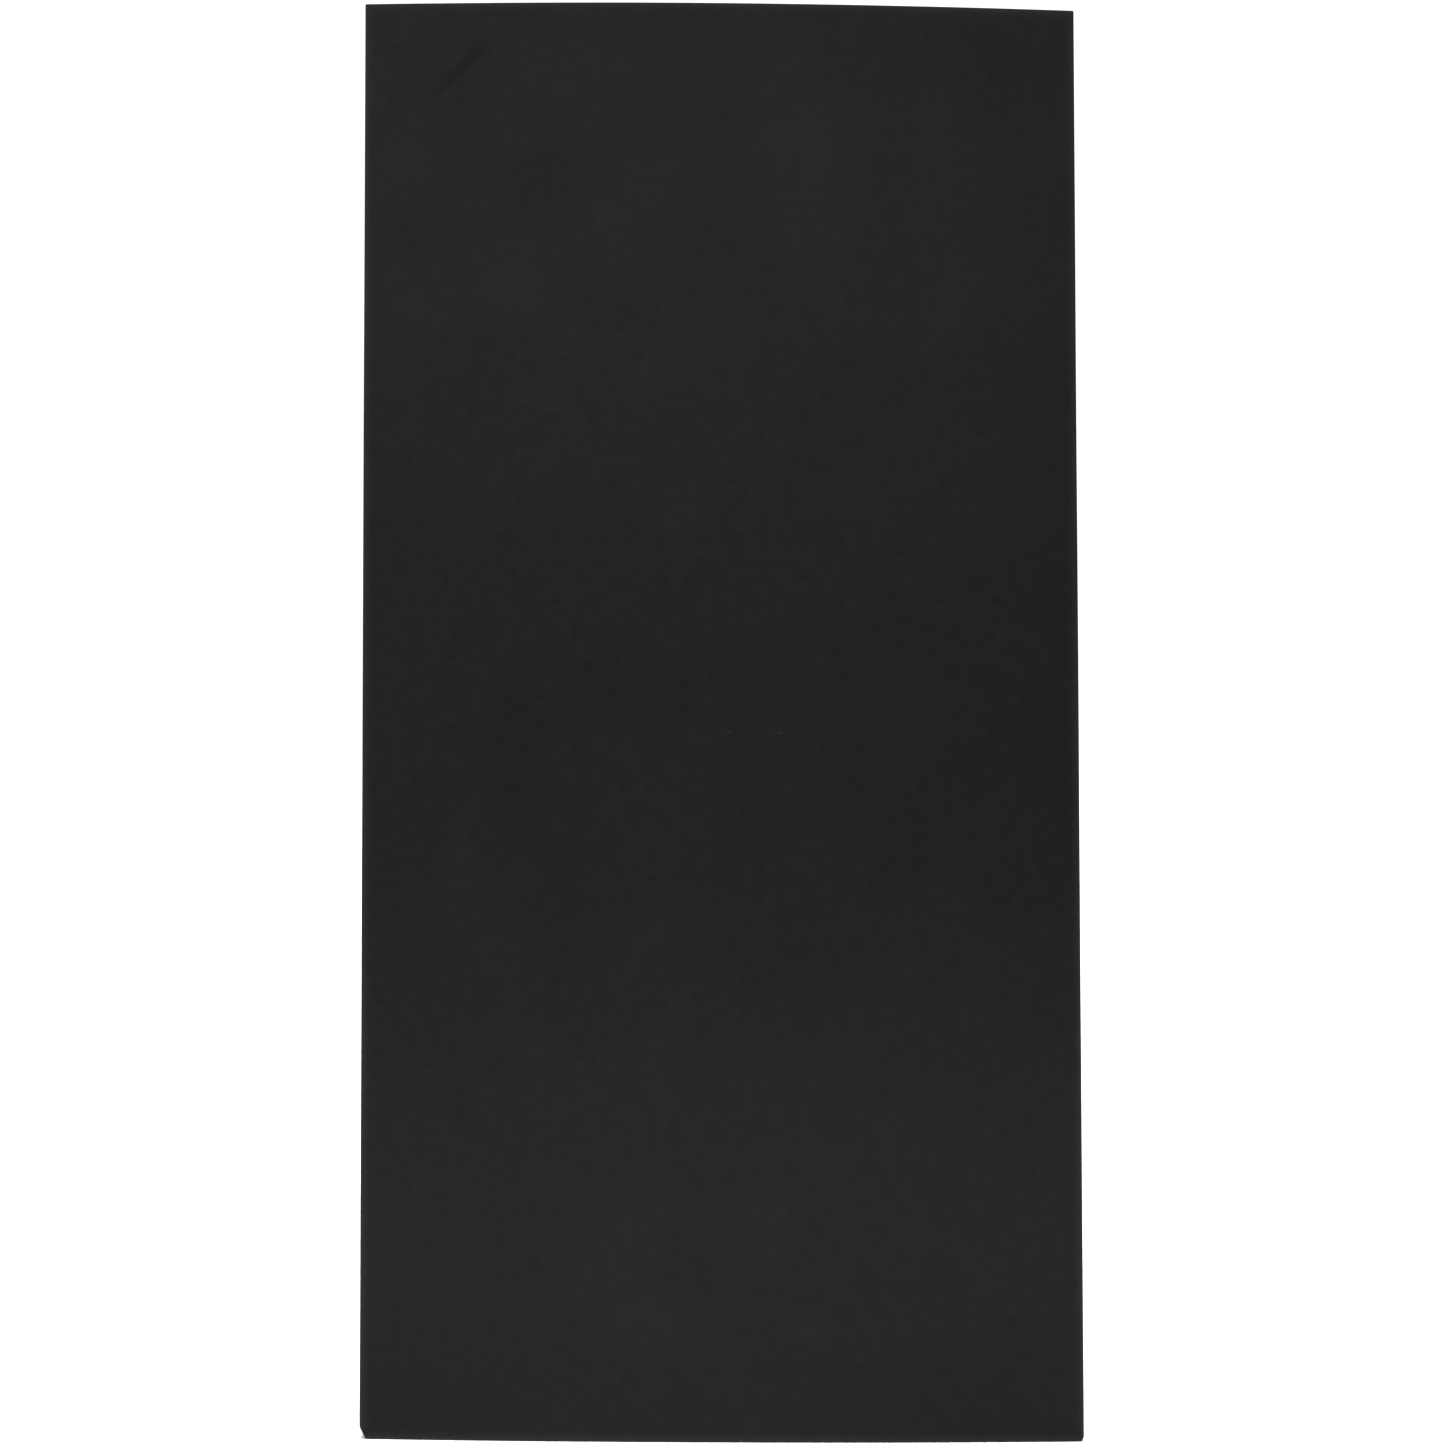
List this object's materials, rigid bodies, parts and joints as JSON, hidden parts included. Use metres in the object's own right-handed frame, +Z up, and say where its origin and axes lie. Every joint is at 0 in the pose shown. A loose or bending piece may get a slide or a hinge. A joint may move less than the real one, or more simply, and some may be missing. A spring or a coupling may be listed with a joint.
{
  "type": "adhesive kick plate",
  "caption": "Flexible black textured vinyl kick plate, tall and rectangular with a bevelled front edge, backed by double-sided foam tape strips under release liners.",
  "frame": {"origin": "middle of the door face, the plane in which the release liners' outer faces lie", "axes": "+Z up, +Y into the door (the back of the plate faces +Y and its front faces -Y), +X to the right of someone facing the plate"},
  "size_m": [0.3048, 0.0032, 0.6096],
  "materials": {
    "vinyl": "matte, fine embossed grain",
    "foam_tape": "matte, closed-cell acrylic foam",
    "liner": "satin, silicone-coated paper"
  },
  "bodies": {
    "root": {"cover_sheet": "vinyl", "tape_left": "foam_tape", "tape_right": "foam_tape", "tape_top": "foam_tape", "tape_upper": "foam_tape", "tape_middle": "foam_tape", "tape_lower": "foam_tape", "tape_bottom": "foam_tape", "liner_left": "liner", "liner_right": "liner", "liner_top": "liner", "liner_upper": "liner", "liner_middle": "liner", "liner_lower": "liner", "liner_bottom": "liner"}
  },
  "joints": []
}
